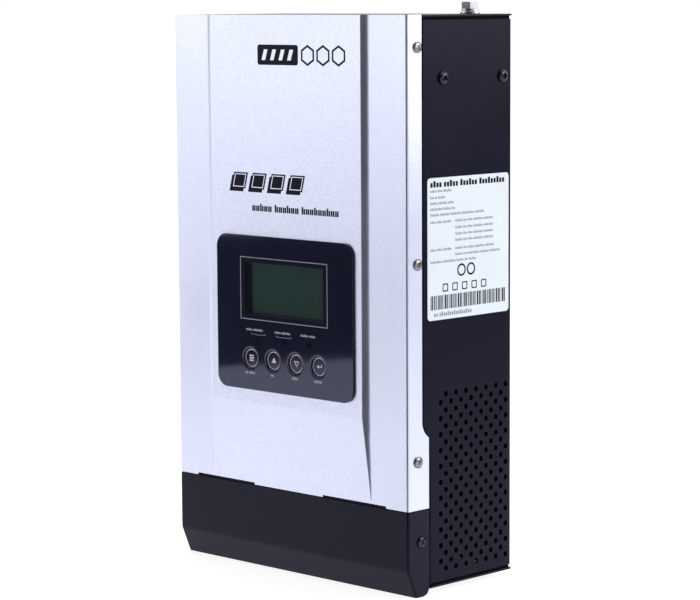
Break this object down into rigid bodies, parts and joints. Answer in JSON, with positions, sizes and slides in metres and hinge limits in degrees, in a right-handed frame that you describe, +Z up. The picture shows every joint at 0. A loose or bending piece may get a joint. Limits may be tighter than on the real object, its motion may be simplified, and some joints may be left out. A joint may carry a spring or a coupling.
{
  "type": "solar charge controller",
  "caption": "Wall-mount solar charge controller: tall perforated sheet-metal case, silver front cover, black terminal cover, glossy display with keys, cable entry below.",
  "frame": {"origin": "middle of the bottom of the whole object's bounding box", "axes": "+X to the right seen from the front, -Y out of the front face, +Y towards the wall, +Z up"},
  "size_m": [0.2054, 0.097, 0.3523],
  "materials": {
    "silver_paint": "fine sandy powder coat, satin",
    "black_paint": "fine powder coat, semi-gloss",
    "label_white": "printed self-adhesive film",
    "overlay_black": "gloss film, second-surface printed",
    "clear_pane": "clear acrylic",
    "screen_green": "unlit liquid-crystal screen",
    "key_black": "gloss with printed white ring",
    "grey_plastic": "moulded, matt",
    "lamp_clear": "clear epoxy",
    "ribbon_grey": "flexible insulation",
    "board_green": "solder-masked glass fibre board",
    "bare_aluminium": "extruded and milled",
    "copper_winding": "enamelled copper wire",
    "capacitor_sleeve": "shrink sleeve",
    "terminal_green": "moulded, matt",
    "fan_black": "moulded, matt",
    "grommet_rubber": "soft, matt",
    "bright_zinc": "bright zinc plate",
    "black_oxide": "black zinc plate"
  },
  "bodies": {
    "housing": {"back_plate": "black_paint", "bottom_panel": "black_paint", "cable_grommet_1": "grommet_rubber", "cable_grommet_2": "grommet_rubber", "cable_grommet_3": "grommet_rubber", "cable_grommet_4": "grommet_rubber", "capacitor_left": "capacitor_sleeve", "capacitor_right": "capacitor_sleeve", "communication_socket": "grey_plastic", "cover_screw_left_foot": "bright_zinc", "cover_screw_left_middle": "bright_zinc", "cover_screw_left_top": "bright_zinc", "cover_screw_right_foot": "bright_zinc", "cover_screw_right_middle": "bright_zinc", "cover_screw_right_top": "bright_zinc", "display_board": "board_green", "display_overlay": "overlay_black", "display_ribbon_cable": "ribbon_grey", "display_window": "clear_pane", "earth_bolt": "bright_zinc", "earth_flat_washer": "bright_zinc", "earth_spring_washer": "bright_zinc", "fan_frame_left": "fan_black", "fan_frame_right": "fan_black", "fan_tray": "bare_aluminium", "front_cover": "silver_paint", "heat_sink": "bare_aluminium", "indicator_charge": "lamp_clear", "indicator_fault": "lamp_clear", "indicator_power": "lamp_clear", "inductor_left": "copper_winding", "inductor_right": "copper_winding", "main_board": "board_green", "rating_label": "label_white", "screen_module": "screen_green", "side_panel_left": "black_paint", "side_panel_right": "black_paint", "side_screw_left_front": "black_oxide", "side_screw_left_rear": "black_oxide", "side_screw_right_front": "black_oxide", "side_screw_right_rear": "black_oxide", "tact_switch_down": "grey_plastic", "tact_switch_enter": "grey_plastic", "tact_switch_menu": "grey_plastic", "tact_switch_up": "grey_plastic", "terminal_block": "terminal_green", "terminal_cover": "black_paint", "terminal_cover_screw_left": "black_oxide", "terminal_cover_screw_right": "black_oxide", "terminal_screw_1": "bright_zinc", "terminal_screw_2": "bright_zinc", "terminal_screw_3": "bright_zinc", "terminal_screw_4": "bright_zinc", "top_panel": "black_paint"},
    "menu_key": {"key_menu": "key_black"},
    "up_key": {"key_up": "key_black"},
    "down_key": {"key_down": "key_black"},
    "enter_key": {"key_enter": "key_black"},
    "left_fan": {"fan_rotor_left": "fan_black"},
    "right_fan": {"fan_rotor_right": "fan_black"}
  },
  "joints": [
    {"name": "menu_key_press", "type": "slide", "parent": "housing", "child": "menu_key", "axis": [0, 1, 0], "range_m": [0, 0.0005], "stiffness_N_per_m": 800},
    {"name": "up_key_press", "type": "slide", "parent": "housing", "child": "up_key", "axis": [0, 1, 0], "range_m": [0, 0.0005], "stiffness_N_per_m": 800},
    {"name": "down_key_press", "type": "slide", "parent": "housing", "child": "down_key", "axis": [0, 1, 0], "range_m": [0, 0.0005], "stiffness_N_per_m": 800},
    {"name": "enter_key_press", "type": "slide", "parent": "housing", "child": "enter_key", "axis": [0, 1, 0], "range_m": [0, 0.0005], "stiffness_N_per_m": 800},
    {"name": "left_fan_spin", "type": "hinge", "parent": "housing", "child": "left_fan", "pos_m": [-0.042, 0.01645, 0.1293], "axis": [0, 0, 1], "continuous": true},
    {"name": "right_fan_spin", "type": "hinge", "parent": "housing", "child": "right_fan", "pos_m": [0.042, 0.01645, 0.1293], "axis": [0, 0, 1], "continuous": true}
  ]
}
